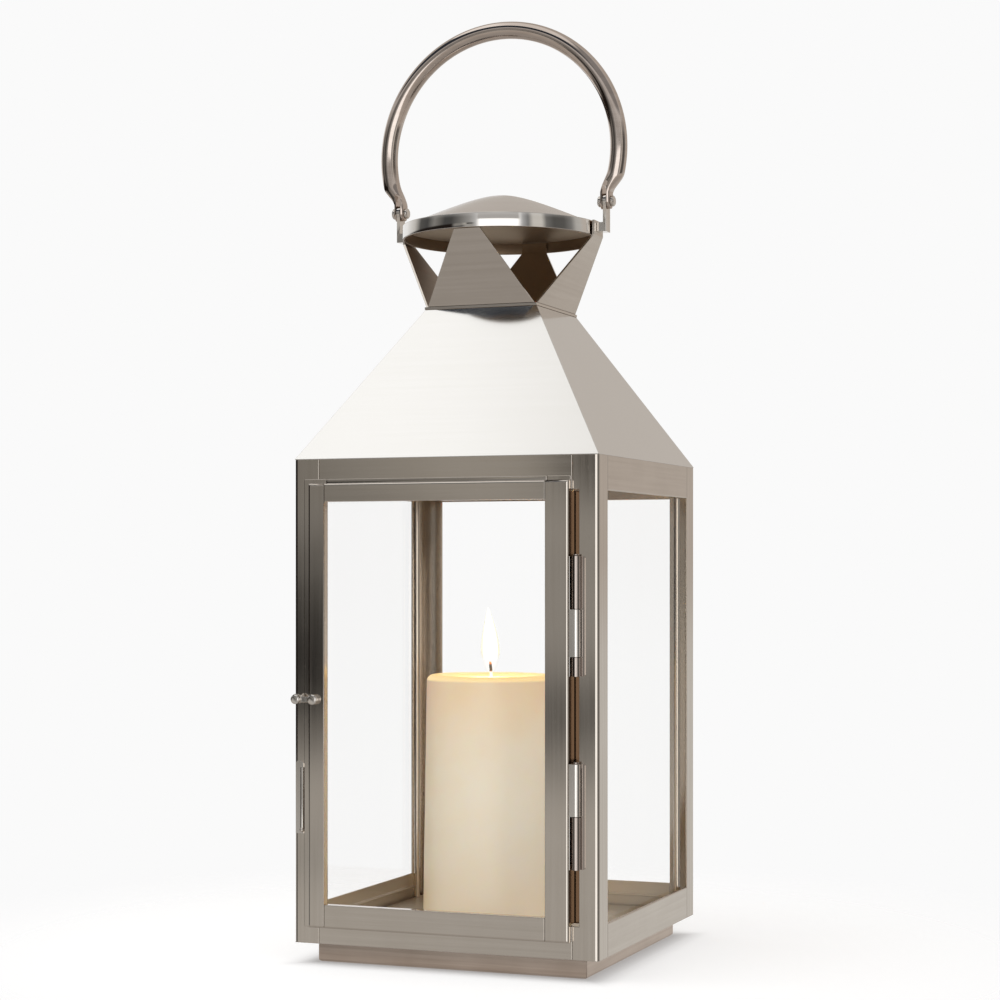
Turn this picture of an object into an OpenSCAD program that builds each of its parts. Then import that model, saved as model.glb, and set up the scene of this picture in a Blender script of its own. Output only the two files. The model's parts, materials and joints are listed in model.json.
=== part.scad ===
// Candle lantern: square stainless steel body on a plinth, glazed on four sides,
// with a hinged and latched front door, a pyramid roof, a vented crown and a ring handle.
// The front is -Y, the hinges are on the +X side, and Z = 0 is the underside of the plinth.

/* [Body] */
// Outer width and depth of the body
body_w = 185; // [184:0.5:187]
// Underside of the body, which is the height of the plinth
plinth_h = 12; // [10:0.5:13]
// Height of the eave above the floor
eave_z = 290; // [290:1:300]
// Width of the plinth
plinth_w = 164; // [140:1:170]
// Sheet thickness of the frame and roof
sheet = 1.2; // [1:0.1:1.3]
// Width of each corner post's flange
post_w = 15.5; // [14:0.5:16]
// Height of the header rails
header_h = 19.5; // [19:0.5:20]
// Top edge of the bottom rails
sill_z = 31; // [30.5:0.25:31]
// Top face of the floor pan
floor_z = 16; // [15.5:0.25:18]
// Thickness of every glass pane
glass_t = 2; // [1.5:0.1:2]

/* [Roof and crown] */
// Width of the square neck at the top of the roof
neck_w = 70; // [68:1:72]
// Height of the neck above the floor
neck_z = 380; // [375:1:382]
// Outer radius of the cap ring
ring_r = 59.5; // [59:0.1:59.5]
// Underside of the cap ring
ring_z = 423.5; // [422:0.5:424]
// Height of the cap ring's band
ring_h = 8.5; // [8:0.1:8.5]
// Rise of the domed cap above its rim
dome_rise = 19.3; // [10:0.1:22]
// Half width of each crown tab at its top
tab_half = 8; // [7:0.5:11]

/* [Door] */
// Door's left edge, measured at its front plate
door_x0 = -81.5; // [-82:0.1:-81]
// Door's right edge, beside the hinges
door_x1 = 76.6; // [76:0.1:76.8]
// Door's bottom edge
door_z0 = 21.8; // [20:0.1:22]
// Top edge of the door's front plate
door_z1 = 275.8; // [275:0.1:276]
// How far the door's front stands proud of the body
door_proud = 5; // [4.8:0.1:5.2]
// Width of the left stile's front plate
stile_left_w = 10.1; // [9.5:0.1:10.5]
// Width of the right stile's front plate
stile_right_w = 13.9; // [12:0.1:15]
// Height of the top rail's front plate
rail_top_w = 10.5; // [9.5:0.1:11]
// Height of the bottom rail's front plate
rail_bottom_w = 13.4; // [12:0.1:14]

/* [Handle] */
// Radius of the handle's centre line
handle_r = 73.6; // [73.4:0.1:73.8]
// Radius of the handle's rod
rod_r = 5.1; // [4.8:0.1:5.2]
// Height of the handle's pivots
pivot_z = 443.5; // [443:0.1:444]
// Distance of each pivot's tongue from the middle
pivot_x = 66; // [65.8:0.1:66.2]

/* [Candle] */
// Radius of the candle at its foot
candle_r = 41; // [30:0.5:41]
// Height of the candle
candle_h = 148; // [80:1:160]
// Sideways place of the candle on the floor pan
candle_x = -7; // [-20:1:20]

/* [Hidden] */

$fn = 64;
steel = "silver";
satin = "darkgray";
warm = "tan";
clear = [0.85, 0.93, 0.95, 0.35];

half = body_w / 2;
inner = half - sheet;
seam = 0.1;
gap = 0.2;

// Hinge-side front post: its front flange is narrower where the door's edge sits
door_side_post_x = 81;

// Panes stand just inside the posts
pane_out = inner - gap;
pane_in = pane_out - glass_t;
shelf_z = 22;
pane_z0 = shelf_z + sheet + seam;
pane_z1 = eave_z - sheet - 0.8;
floor_half = pane_in - 0.6;
stop_r = 2;
stop_y = 74;

// Crown
collar_h = 1.6;
tab_z0 = neck_z + collar_h + seam;
tab_t = 1.4;
roof_sheet = 1.3;
ring_t = 1.4;
dome_soft = 0.411;
ring_top = ring_z + ring_h;
tab_front_r = 56.7;
tab_side_r = 61.2;
cap_t = 1.2;
cap_r = ring_r - ring_t - gap;
cap_z = ring_top - 0.8;
cap_steps = 20;

// Handle
loop_z = pivot_z + sqrt(handle_r * handle_r - pivot_x * pivot_x);
tongue_t = 2;
tongue_half = 4;
tongue_end_r = 4.8;
cheek_t = 1.8;
fork_slot = 2.6;
fork_half = 4.5;
fork_mouth_r = 2.2;
fork_mouth_z = pivot_z + 9;
rod_end_angle = 12;
pivot_pin_r = 1.5;
pivot_bore_r = 1.55;
pivot_head_r = 3.2;
pivot_head_t = 2;

// Door
door_y0 = -half - door_proud;
door_deep = 10;
door_y1 = door_y0 + door_deep;
lip_y0 = -half - 1.4;
lip_y1 = -half - 0.4;
lip_left = 4;
lip_top = 2.6;
rebate_y = door_y0 + 5.3;
open_x0 = door_x0 + stile_left_w;
open_x1 = door_x1 - stile_right_w;
open_z0 = door_z0 + rail_bottom_w;
open_z1 = door_z1 - rail_top_w;
web_x = -(half - post_w) + 0.4;
web_t = 1.5;
web_z0 = sill_z + 0.4;
web_z1 = eave_z - header_h - 0.4;
door_pane_x0 = web_x + web_t + gap;
door_pane_x1 = open_x1 + 3.5;

// Hinges: one vertical axis for both
hinge_x = 80.2;
hinge_y = -95.3;
knuckle_r = 2.4;
hinge_pin_r = 1;
fixed_bore_r = 1.02;
hinge_bore_r = 1.05;
leaf_t = 0.9;
leaf_end_x = 84.6;
door_leaf_t = 0.8;
knuckle_gap = 0.4;
upper_z = [168, 178.5, 205, 234];
lower_z = [62, 91, 120];

// Latch
latch_z = 152.4;
latch_x = -77.5;
keeper_x = -88.2;
hook_y0 = door_y0 - 1.7;
hook_t = 1.4;
stud_r = 1.2;
hook_bore_r = 1.25;

// Candle
wick_r = 0.9;
candle_top = floor_z + candle_h;
shoulder_r = 4;
candle_top_r = candle_r - 2.3;

// A plain box between two opposite corners
module block(lo, hi) {
    translate(lo) cube(hi - lo);
}

// Four-way repeat: turns a part made for the front to face another side
module side(turn) {
    rotate([0, 0, turn]) children();
}

// ---- Plinth and floor ----

// One mitred plinth strip: a folded channel with rounded outer edges
module plinth_strip() {
    bar_w = 18;
    round_r = 1.8;
    arc = [for (a = [0 : 15 : 90]) a];
    lower = [for (a = arc) [round_r * (1 - sin(a)), round_r * (1 - cos(a))]];
    upper = [for (a = arc) [round_r * (1 - cos(a)), plinth_h - round_r * (1 - sin(a))]];
    outline = concat([[bar_w, 0]], lower, upper, [[bar_w, plinth_h]]);
    reach = plinth_w / 2;
    intersection() {
        translate([-reach, -reach, 0]) rotate([90, 0, 90]) linear_extrude(2 * reach) difference() {
            polygon(outline);
            translate([sheet, sheet]) square([bar_w, plinth_h - 2 * sheet]);
        }
        linear_extrude(plinth_h) polygon([[0, -seam], [reach, -reach - seam], [-reach, -reach - seam]]);
    }
}

module plinth_front() { color(warm) side(0) plinth_strip(); }
module plinth_right() { color(warm) side(90) plinth_strip(); }
module plinth_back() { color(warm) side(180) plinth_strip(); }
module plinth_left() { color(warm) side(270) plinth_strip(); }

// Closes the plinth from below
module base_plate() {
    reach = plinth_w / 2 - 18 - gap;
    color(warm) block([-reach, -reach, 0], [reach, reach, sheet]);
}

// Closes the body from below, on top of the plinth
module underside_plate() {
    reach = inner - gap;
    color(satin) block([-reach, -reach, plinth_h + 0.05], [reach, reach, plinth_h + sheet]);
}

// Polished tray that the candle stands on, with its skirts turned down
module floor_pan() {
    low = plinth_h + sheet + 0.05;
    color(steel) difference() {
        block([-floor_half, -floor_half, low], [floor_half, floor_half, floor_z]);
        block([-floor_half + sheet, -floor_half + sheet, low - 1],
              [floor_half - sheet, floor_half - sheet, floor_z - sheet]);
    }
}

// ---- Frame ----

// Corner post: an L-angle with its corner at the front left
module angle_post() {
    linear_extrude(eave_z - plinth_h) polygon([
        [-half, -half], [-half + post_w, -half], [-half + post_w, -half + sheet],
        [-half + sheet, -half + sheet], [-half + sheet, -half + post_w], [-half, -half + post_w]]);
}

module post_front_left() {
    color(steel) translate([0, 0, plinth_h]) angle_post();
}

// The hinge post's front flange is cut back between the sill and the header, and its edge
// is folded in to make a stop behind the door's hinged edge
module post_front_right() {
    stop_x = 74.5;
    stop_near = door_y1 + 1.1;
    color(steel) {
        difference() {
            translate([0, 0, plinth_h]) mirror([1, 0, 0]) angle_post();
            block([half - post_w - 1, -half - 1, sill_z - 0.5],
                  [door_side_post_x, -half + sheet + 1, eave_z - header_h + 0.5]);
        }
        block([door_side_post_x, -half + 0.2, web_z0], [door_side_post_x + sheet, stop_near + sheet, web_z1]);
        block([stop_x, stop_near, web_z0], [door_side_post_x + sheet, stop_near + sheet, web_z1]);
    }
}

module post_back_left() {
    color(steel) translate([0, 0, plinth_h]) mirror([0, 1, 0]) angle_post();
}

module post_back_right() {
    color(steel) translate([0, 0, plinth_h]) side(180) angle_post();
}

// Bottom rail: face plate with a narrow shelf that the pane stands on
module bottom_rail() {
    reach = half - post_w - seam;
    block([-reach, -half, plinth_h], [reach, -inner, sill_z]);
    block([-reach, -inner, shelf_z], [reach, -pane_in - 0.1, shelf_z + sheet]);
}

module bottom_rail_front() { color(steel) side(0) bottom_rail(); }
module bottom_rail_right() { color(steel) side(90) bottom_rail(); }
module bottom_rail_back() { color(steel) side(180) bottom_rail(); }
module bottom_rail_left() { color(steel) side(270) bottom_rail(); }

// Header rail: face plate with a flange turned in under the roof
module header_rail() {
    reach = half - post_w - seam;
    block([-reach, -half, eave_z - header_h], [reach, -inner, eave_z]);
    block([-reach, -inner, eave_z - sheet], [reach, -inner + 5, eave_z]);
}

module header_rail_front() { color(steel) side(0) header_rail(); }
module header_rail_right() { color(steel) side(90) header_rail(); }
module header_rail_back() { color(steel) side(180) header_rail(); }
module header_rail_left() { color(steel) side(270) header_rail(); }

// ---- Glass ----

module fixed_pane() {
    reach = pane_in - gap;
    block([-reach, -pane_out, pane_z0], [reach, -pane_in, pane_z1]);
}

module pane_right() { color(clear) side(90) fixed_pane(); }
module pane_back() { color(clear) side(180) fixed_pane(); }
module pane_left() { color(clear) side(270) fixed_pane(); }

// Round rod that keeps the edge of a side pane against its post
module glass_stop(sx, sy) {
    low = floor_z + 0.05;
    high = eave_z - sheet - 0.1;
    x = pane_in - stop_r - seam;
    color(steel) translate([sx * x, sy * stop_y, low]) cylinder(h = high - low, r = stop_r);
}

module glass_stop_front_left() { glass_stop(-1, -1); }
module glass_stop_front_right() { glass_stop(1, -1); }
module glass_stop_back_left() { glass_stop(-1, 1); }
module glass_stop_back_right() { glass_stop(1, 1); }

// Small bent tabs under the header flange, two for each fixed pane
module pane_clips() {
    clip_w = 12;
    high = eave_z - sheet - 0.05;
    color(satin) for (turn = [90, 180, 270]) side(turn) for (x = [-45, 45]) {
        block([x - clip_w / 2, -pane_in + seam, high - 7], [x + clip_w / 2, -pane_in + seam + 0.8, high]);
        block([x - clip_w / 2, -pane_in + seam, high - 0.7], [x + clip_w / 2, -pane_in + 3.5, high]);
    }
}

// ---- Roof and crown ----

// Sloping sheet made for the front; its ends are mitred to its neighbours at the hips
module roof_panel() {
    out = [body_w / 2, neck_w / 2];
    in = [out[0] - roof_sheet, out[1] - roof_sheet];
    z = [eave_z, neck_z];
    points = [for (k = [0, 1]) each [[-out[k], -out[k], z[k]], [out[k], -out[k], z[k]],
        [in[k], -in[k], z[k]], [-in[k], -in[k], z[k]]]];
    faces = [[0, 1, 2, 3], [7, 6, 5, 4], [0, 4, 5, 1], [1, 5, 6, 2], [2, 6, 7, 3], [3, 7, 4, 0]];
    color(steel) polyhedron(points, faces);
}
module roof_front() { roof_panel(); }
module roof_right() { side(90) roof_panel(); }
module roof_back() { side(180) roof_panel(); }
module roof_left() { side(270) roof_panel(); }

// Square frame at the neck, which the crown tabs stand on
module crown_collar() {
    color(satin) translate([0, 0, neck_z]) linear_extrude(collar_h) difference() {
        square(neck_w + 0.6, center = true);
        square(neck_w - 5, center = true);
    }
}

// Flared tab with a short upright lap against the cap ring, made for the front
module crown_tab(top_r, lap_top) {
    foot = neck_w / 2;
    foot_half = foot - 1.6;
    intersection() {
        translate([-foot, 0, 0]) rotate([90, 0, 90]) linear_extrude(neck_w) polygon([
            [-foot + tab_t, tab_z0], [-foot, tab_z0], [-top_r, ring_z], [-top_r, lap_top],
            [-top_r + tab_t, lap_top], [-top_r + tab_t, ring_z + 0.4]]);
        rotate([90, 0, 0]) linear_extrude(ring_r + 10) polygon([
            [-foot_half, tab_z0], [foot_half, tab_z0], [tab_half, ring_z], [tab_half, lap_top],
            [-tab_half, lap_top], [-tab_half, ring_z]]);
    }
}

module crown_tab_front() { color(satin) side(0) crown_tab(tab_front_r, cap_z - cap_t - 0.4); }
module crown_tab_right() { color(satin) side(90) crown_tab(tab_side_r, ring_top); }
module crown_tab_back() { color(satin) side(180) crown_tab(tab_front_r, cap_z - cap_t - 0.4); }
module crown_tab_left() { color(satin) side(270) crown_tab(tab_side_r, ring_top); }

module cap_ring() {
    color(steel) translate([0, 0, ring_z]) linear_extrude(ring_h) difference() {
        circle(ring_r, $fn = 128);
        circle(ring_r - ring_t, $fn = 128);
    }
}

// Height of the cap over its rim at radius r: a rounded top that runs out into a straight slope
function bell(r) = dome_rise * (1 + dome_soft
    - sqrt(pow(dome_soft, 2) + (1 + 2 * dome_soft) * pow(r / cap_r, 2)));

module dome_cap() {
    top = [for (i = [0 : cap_steps]) [cap_r * i / cap_steps, cap_z + bell(cap_r * i / cap_steps)]];
    under = [for (i = [cap_steps : -1 : 0])
        [cap_r * i / cap_steps, cap_z - cap_t + bell(cap_r * i / cap_steps)]];
    color(satin) rotate_extrude($fn = 128) polygon(concat(top, under));
}

// ---- Handle brackets ----

// Upright tongue on a spacer block, brazed to the outside of a crown tab, made for +X
module handle_bracket() {
    tongue_x0 = pivot_x - tongue_t / 2;
    low = ring_z + 2;
    difference() {
        union() {
            block([tongue_x0, -tongue_half, low], [tongue_x0 + tongue_t, tongue_half, pivot_z]);
            translate([tongue_x0, 0, pivot_z]) rotate([0, 90, 0]) cylinder(h = tongue_t, r = tongue_end_r);
            block([tab_side_r + 0.05, -tongue_half, low], [tongue_x0 + 0.1, tongue_half, ring_top - 1]);
        }
        translate([tongue_x0 - 1, 0, pivot_z]) rotate([0, 90, 0])
            cylinder(h = tongue_t + 2, r = pivot_bore_r);
    }
}

module handle_bracket_right() { color(satin) handle_bracket(); }
module handle_bracket_left() { color(satin) mirror([1, 0, 0]) handle_bracket(); }

// ---- Hinges ----

// Knuckle tube between two heights
module knuckle(z0, z1, bore) {
    translate([hinge_x, hinge_y, z0]) difference() {
        cylinder(h = z1 - z0, r = knuckle_r);
        translate([0, 0, -1]) cylinder(h = z1 - z0 + 2, r = bore);
    }
}

// Flat part of a post leaf with rounded outer corners
module post_leaf_plate(z0, z1) {
    corner = 1.2;
    start = hinge_x + 2.8;
    y0 = -half - leaf_t - 0.05;
    block([start, y0, z0], [leaf_end_x - corner, -half - 0.05, z1]);
    block([start, y0, z0 + corner], [leaf_end_x, -half - 0.05, z1 - corner]);
    for (z = [z0 + corner, z1 - corner])
        translate([leaf_end_x - corner, -half - 0.05, z]) rotate([90, 0, 0]) cylinder(h = leaf_t, r = corner);
}

// Knuckle of the post leaf with the strip that joins it to the plate
module post_knuckle(z0, z1) {
    y0 = -half - leaf_t - 0.05;
    knuckle(z0, z1, fixed_bore_r);
    difference() {
        block([hinge_x, y0, z0], [hinge_x + 3.5, -half - 0.05, z1]);
        translate([hinge_x, hinge_y, z0 - 1]) cylinder(h = z1 - z0 + 2, r = knuckle_r - 0.3);
    }
}

module hinge_leaf_upper() {
    color(steel) post_leaf_plate(upper_z[0], upper_z[3]);
    color(steel) post_knuckle(upper_z[0], upper_z[1] - knuckle_gap / 2);
    color(steel) post_knuckle(upper_z[2] + knuckle_gap / 2, upper_z[3]);
}

module hinge_leaf_lower() {
    color(steel) post_leaf_plate(lower_z[0], lower_z[2]);
    color(steel) post_knuckle(lower_z[0], lower_z[1] - knuckle_gap / 2);
}

// Hinge pin with a small round head on top
module hinge_pin(z0, z1) {
    color(steel) translate([hinge_x, hinge_y, z0]) cylinder(h = z1 - z0, r = hinge_pin_r);
    color(steel) translate([hinge_x, hinge_y, z1]) cylinder(h = 0.8, r = 1.7);
}

module hinge_pins() {
    hinge_pin(upper_z[0], upper_z[3] + 0.3);
    hinge_pin(lower_z[0], lower_z[2] + 0.3);
}

// Door leaf: a plate on the door's side face and one knuckle
module door_leaf(z0, z1, k0, k1) {
    tangent = hinge_y - knuckle_r;
    block([door_x1 + 0.05, tangent, z0], [door_x1 + door_leaf_t, door_y1 + 0.5, z1]);
    knuckle(k0, k1, hinge_bore_r);
    difference() {
        block([door_x1 + 0.05, tangent, k0], [hinge_x, tangent + door_leaf_t, k1]);
        translate([hinge_x, hinge_y, k0 - 1]) cylinder(h = k1 - k0 + 2, r = knuckle_r - 0.3);
    }
}

module door_hinge_leaf_upper() {
    color(steel)
        door_leaf(upper_z[0], upper_z[3], upper_z[1] + knuckle_gap / 2, upper_z[2] - knuckle_gap / 2);
}

module door_hinge_leaf_lower() {
    color(steel) door_leaf(lower_z[0], lower_z[2], lower_z[1] + knuckle_gap / 2, lower_z[2]);
}

// ---- Door ----

// Space behind the door's front box that the header and the sill need
module door_clearance() {
    far = 30;
    block([door_x0 - far, lip_y1, door_z0 - far], [door_x1 + far, door_y1 + far, web_z0]);
    block([door_x0 - far, lip_y1, web_z1], [door_x1 + far, door_y1 + far, door_z1 + far]);
}

module door_stile_left() {
    wall = 1;
    color(steel) difference() {
        union() {
            translate([0, 0, door_z0]) linear_extrude(door_z1 - door_z0) polygon([
                [open_x0, door_y0], [open_x0, rebate_y], [web_x + web_t, rebate_y],
                [web_x + web_t, door_y1], [web_x, door_y1], [web_x, lip_y1], [door_x0, lip_y1],
                [door_x0, door_y0]]);
            block([door_x0 - lip_left, lip_y0, door_z0], [door_x0, lip_y1, door_z1 + lip_top]);
            block([door_x0, lip_y0, door_z1], [open_x0 - seam, lip_y1, door_z1 + lip_top]);
        }
        door_clearance();
        block([door_x0 + wall, door_y0 + wall, door_z0 + wall], [open_x0 - wall, lip_y0, door_z1 - wall]);
    }
}

module door_stile_right() {
    wall = 1;
    color(steel) difference() {
        union() {
            translate([0, 0, door_z0]) linear_extrude(door_z1 - door_z0) polygon([
                [open_x1, door_y0], [door_x1, door_y0], [door_x1, door_y1],
                [door_pane_x1 + gap, door_y1], [door_pane_x1 + gap, rebate_y], [open_x1, rebate_y]]);
            block([open_x1 + seam, lip_y0, door_z1], [door_x1, lip_y1, door_z1 + lip_top]);
        }
        door_clearance();
        block([open_x1 + wall, door_y0 + wall, door_z0 + wall],
            [door_x1 - wall, rebate_y - wall, door_z1 - wall]);
        block([door_pane_x1 + gap + wall, rebate_y - 1.5, web_z0 + wall],
              [door_x1 - wall, door_y1 - wall, web_z1 - wall]);
    }
}

// Door rail made from an outline in Y and Z, between the two stiles
module door_rail(outline) {
    color(steel) translate([open_x0 + seam, 0, 0]) rotate([90, 0, 90])
        linear_extrude(open_x1 - open_x0 - 2 * seam) polygon(outline);
}

module door_rail_top() {
    wall = 1;
    difference() {
        door_rail([[door_y0, open_z1], [rebate_y, open_z1], [rebate_y, web_z1 - web_t],
            [door_y1, web_z1 - web_t], [door_y1, web_z1], [lip_y1, web_z1],
            [lip_y1, door_z1 + lip_top], [lip_y0, door_z1 + lip_top], [lip_y0, door_z1],
            [door_y0, door_z1]]);
        block([open_x0 - 1, door_y0 + wall, open_z1 + wall], [open_x1 + 1, lip_y0, door_z1 - wall]);
    }
}

module door_rail_bottom() {
    wall = 1;
    difference() {
        door_rail([[door_y0, open_z0], [rebate_y, open_z0], [rebate_y, web_z0 + web_t],
            [door_y1, web_z0 + web_t], [door_y1, web_z0], [lip_y1, web_z0],
            [lip_y1, door_z0], [door_y0, door_z0]]);
        block([open_x0 - 1, door_y0 + wall, door_z0 + wall], [open_x1 + 1, lip_y0, open_z0 - wall]);
    }
}

module door_pane() {
    y0 = rebate_y + 0.05;
    color(clear) block([door_pane_x0, y0, web_z0 + web_t + gap],
                       [door_pane_x1, y0 + glass_t, web_z1 - web_t - gap]);
}

// Four small tabs that hold the door's pane in its rebate
module door_glass_clips() {
    y0 = rebate_y + glass_t + 0.1;
    clip_w = 12;
    clip_lap = 1.2;
    edge = web_t + gap;
    color(satin) for (x = [-45, 36]) {
        block([x - clip_w / 2, y0, web_z1 - edge - clip_lap],
            [x + clip_w / 2, y0 + 0.8, web_z1 - edge + gap - 0.05]);
        block([x - clip_w / 2, y0, web_z0 + edge - gap + 0.05],
            [x + clip_w / 2, y0 + 0.8, web_z0 + edge + clip_lap]);
    }
}

// ---- Latch ----

// Rivet that the latch hook turns on
module latch_rivet() {
    color(steel) translate([latch_x, door_y0 - 0.02, latch_z]) rotate([90, 0, 0]) {
        cylinder(h = 3.6, r = stud_r);
        translate([0, 0, 2]) cylinder(h = 1.1, r = 2.9);
        translate([0, 0, 3.1]) cylinder(h = 0.5, r1 = 2.9, r2 = 2.2);
    }
}

// Headed stud on the front left post, which the hook drops over
module keeper_stud() {
    reach = -hook_y0 + 0.4 - half;
    color(steel) translate([keeper_x, -half - 0.02, latch_z]) rotate([90, 0, 0]) {
        cylinder(h = 0.8, r = 2.2);
        cylinder(h = reach + 1.5, r = stud_r);
        translate([0, 0, reach]) cylinder(h = 1.1, r = 2.7);
        translate([0, 0, reach + 1.1]) cylinder(h = 0.5, r1 = 2.7, r2 = 2);
    }
}

// Flat hook: an eye on the rivet, a waist, and a claw that is open below
module latch_hook() {
    eye_r = 2.7;
    claw_r = 3.1;
    slot = 1.5;
    reach = latch_x - keeper_x;
    color(steel) translate([latch_x, hook_y0 + hook_t, latch_z]) rotate([90, 0, 0])
        linear_extrude(hook_t) difference() {
            union() {
                circle(eye_r);
                translate([-reach, 0]) circle(claw_r);
                translate([-reach, -1.5]) square([reach, 3]);
            }
            circle(hook_bore_r);
            translate([-reach, 0]) circle(slot);
            translate([-reach - slot, -claw_r - 1]) square([2 * slot + 0.5, claw_r + 1]);
        }
}

// Leaf on the front left post beside the door's edge, with a rolled ridge and a nub
module side_catch() {
    z0 = 75;
    z1 = 117;
    left = -half + 1.3;
    right = -86.4;
    mid = (left + right) / 2;
    r = (right - left) / 2;
    y = -half - 0.02;
    color(steel) {
        block([left, y - 0.8, z0], [right, y, z1 - r]);
        translate([mid, y, z1 - r]) rotate([90, 0, 0]) cylinder(h = 0.8, r = r);
        translate([right - 0.6, y - 1, z0 + 2]) cylinder(h = z1 - z0 - 6, r = 1);
        translate([right - 0.6, y - 1.4, z0 + 2]) sphere(r = 1.4);
    }
}

// ---- Handle ----

// Forked end of the handle, made for +X
module fork() {
    end_x = handle_r * cos(rod_end_angle);
    end_z = loop_z - handle_r * sin(rod_end_angle);
    outer = fork_slot / 2 + cheek_t;
    difference() {
        union() {
            hull() {
                translate([end_x, 0, end_z]) rotate([0, rod_end_angle, 0])
                    cylinder(h = 0.6, r = rod_r, $fn = 32);
                block([pivot_x - outer, -fork_half, pivot_z + 5], [pivot_x + outer, fork_half, pivot_z + 6]);
            }
            block([pivot_x - outer, -fork_half, pivot_z], [pivot_x + outer, fork_half, pivot_z + 5.5]);
            translate([pivot_x - outer, 0, pivot_z]) rotate([0, 90, 0])
                cylinder(h = 2 * outer, r = fork_half);
        }
        block([pivot_x - fork_slot / 2, -10, pivot_z - 10], [pivot_x + fork_slot / 2, 10, fork_mouth_z]);
        translate([pivot_x + 0.4, 10, fork_mouth_z]) rotate([90, 0, 0]) cylinder(h = 20, r = fork_mouth_r);
        translate([pivot_x - 8, 0, pivot_z]) rotate([0, 90, 0]) cylinder(h = 16, r = pivot_pin_r);
    }
}

module handle_ring() {
    color(steel) {
        translate([0, 0, loop_z]) rotate([90, 0, 0]) rotate([0, 0, -rod_end_angle])
            rotate_extrude(angle = 180 + 2 * rod_end_angle, $fn = 128) translate([handle_r, 0]) circle(rod_r);
        fork();
        mirror([1, 0, 0]) fork();
    }
}

// Pivot pin with two round heads, made for +X
module handle_pin() {
    reach = fork_slot / 2 + cheek_t + 0.03;
    translate([pivot_x - reach - 0.5, 0, pivot_z]) rotate([0, 90, 0])
        cylinder(h = 2 * reach + 1, r = pivot_pin_r);
    for (turn = [0, 180]) translate([pivot_x, 0, pivot_z]) rotate([0, 0, turn]) rotate([0, 90, 0]) {
        translate([0, 0, reach]) cylinder(h = pivot_head_t - 0.6, r = pivot_head_r);
        translate([0, 0, reach + pivot_head_t - 0.6]) cylinder(h = 0.6, r1 = pivot_head_r, r2 = 2.4);
    }
}

module handle_pin_right() { color(steel) handle_pin(); }
module handle_pin_left() { color(steel) mirror([1, 0, 0]) handle_pin(); }

// ---- Candle ----

// Pillar with a slight taper, a rounded shoulder and a shallow dish round the wick
module candle_wax() {
    low = floor_z + 0.02;
    shoulder = [for (a = [0 : 10 : 90])
        [candle_top_r - shoulder_r * (1 - cos(a)), candle_top - shoulder_r * (1 - sin(a))]];
    dish_r = candle_top_r - shoulder_r - 6;
    color("ivory") translate([candle_x, 0, 0]) rotate_extrude($fn = 96) polygon(concat(
        [[0, low], [candle_r - 0.8, low], [candle_r, low + 0.8]], shoulder,
        [[dish_r, candle_top - 1.2], [wick_r + 0.02, candle_top - 3], [wick_r + 0.02, candle_top - 10],
         [0, candle_top - 10]]));
}

module candle_wick() {
    color("dimgray") translate([candle_x, 0, candle_top - 9.95]) cylinder(h = 17.4, r = wick_r);
}

plinth_front();
plinth_right();
plinth_back();
plinth_left();
base_plate();
underside_plate();
floor_pan();
post_front_left();
post_front_right();
post_back_left();
post_back_right();
bottom_rail_front();
bottom_rail_right();
bottom_rail_back();
bottom_rail_left();
header_rail_front();
header_rail_right();
header_rail_back();
header_rail_left();
pane_left();
pane_right();
pane_back();
glass_stop_front_left();
glass_stop_front_right();
glass_stop_back_left();
glass_stop_back_right();
pane_clips();
roof_front();
roof_right();
roof_back();
roof_left();
crown_collar();
crown_tab_front();
crown_tab_right();
crown_tab_back();
crown_tab_left();
cap_ring();
dome_cap();
handle_bracket_left();
handle_bracket_right();
hinge_leaf_upper();
hinge_leaf_lower();
hinge_pins();
keeper_stud();
side_catch();
door_stile_left();
door_stile_right();
door_rail_top();
door_rail_bottom();
door_pane();
door_glass_clips();
door_hinge_leaf_upper();
door_hinge_leaf_lower();
latch_rivet();
latch_hook();
handle_ring();
handle_pin_left();
handle_pin_right();
candle_wax();
candle_wick();
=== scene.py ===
"""Looks for the candle lantern: finished pieces, materials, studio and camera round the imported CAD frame."""

import json
import math

import bmesh
import bpy
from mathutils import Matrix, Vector, noise


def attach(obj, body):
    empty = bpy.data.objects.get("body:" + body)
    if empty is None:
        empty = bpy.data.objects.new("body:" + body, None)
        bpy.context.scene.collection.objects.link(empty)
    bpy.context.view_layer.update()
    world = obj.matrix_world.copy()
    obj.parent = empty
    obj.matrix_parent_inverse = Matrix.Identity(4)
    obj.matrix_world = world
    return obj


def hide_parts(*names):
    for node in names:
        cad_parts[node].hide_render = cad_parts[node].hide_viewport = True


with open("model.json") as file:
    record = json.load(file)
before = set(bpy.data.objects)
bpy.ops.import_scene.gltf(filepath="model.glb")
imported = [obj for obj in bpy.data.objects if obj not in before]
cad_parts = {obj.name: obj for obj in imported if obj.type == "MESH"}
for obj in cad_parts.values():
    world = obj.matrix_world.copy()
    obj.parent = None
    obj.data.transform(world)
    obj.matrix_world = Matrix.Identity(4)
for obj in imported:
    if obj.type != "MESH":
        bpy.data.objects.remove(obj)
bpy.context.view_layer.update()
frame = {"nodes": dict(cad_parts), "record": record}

MM = 0.001
RECORD = frame["record"]
BODY_OF = {node: body for body, nodes in RECORD["behaviour"]["bodies"].items() for node in nodes}
SLOT_OF = {part["node"]: part["material_slot"] for part in RECORD["subparts"]}

# Camera: azimuth from the front towards +X, in degrees, and its place in metres
CAM_AZIMUTH = 21.107
CAM_PLACE = (0.4911, -1.2722, 0.226)
CAM_LENS = 81.9
CAM_SHIFT = (-0.002, 0.0707)

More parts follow.
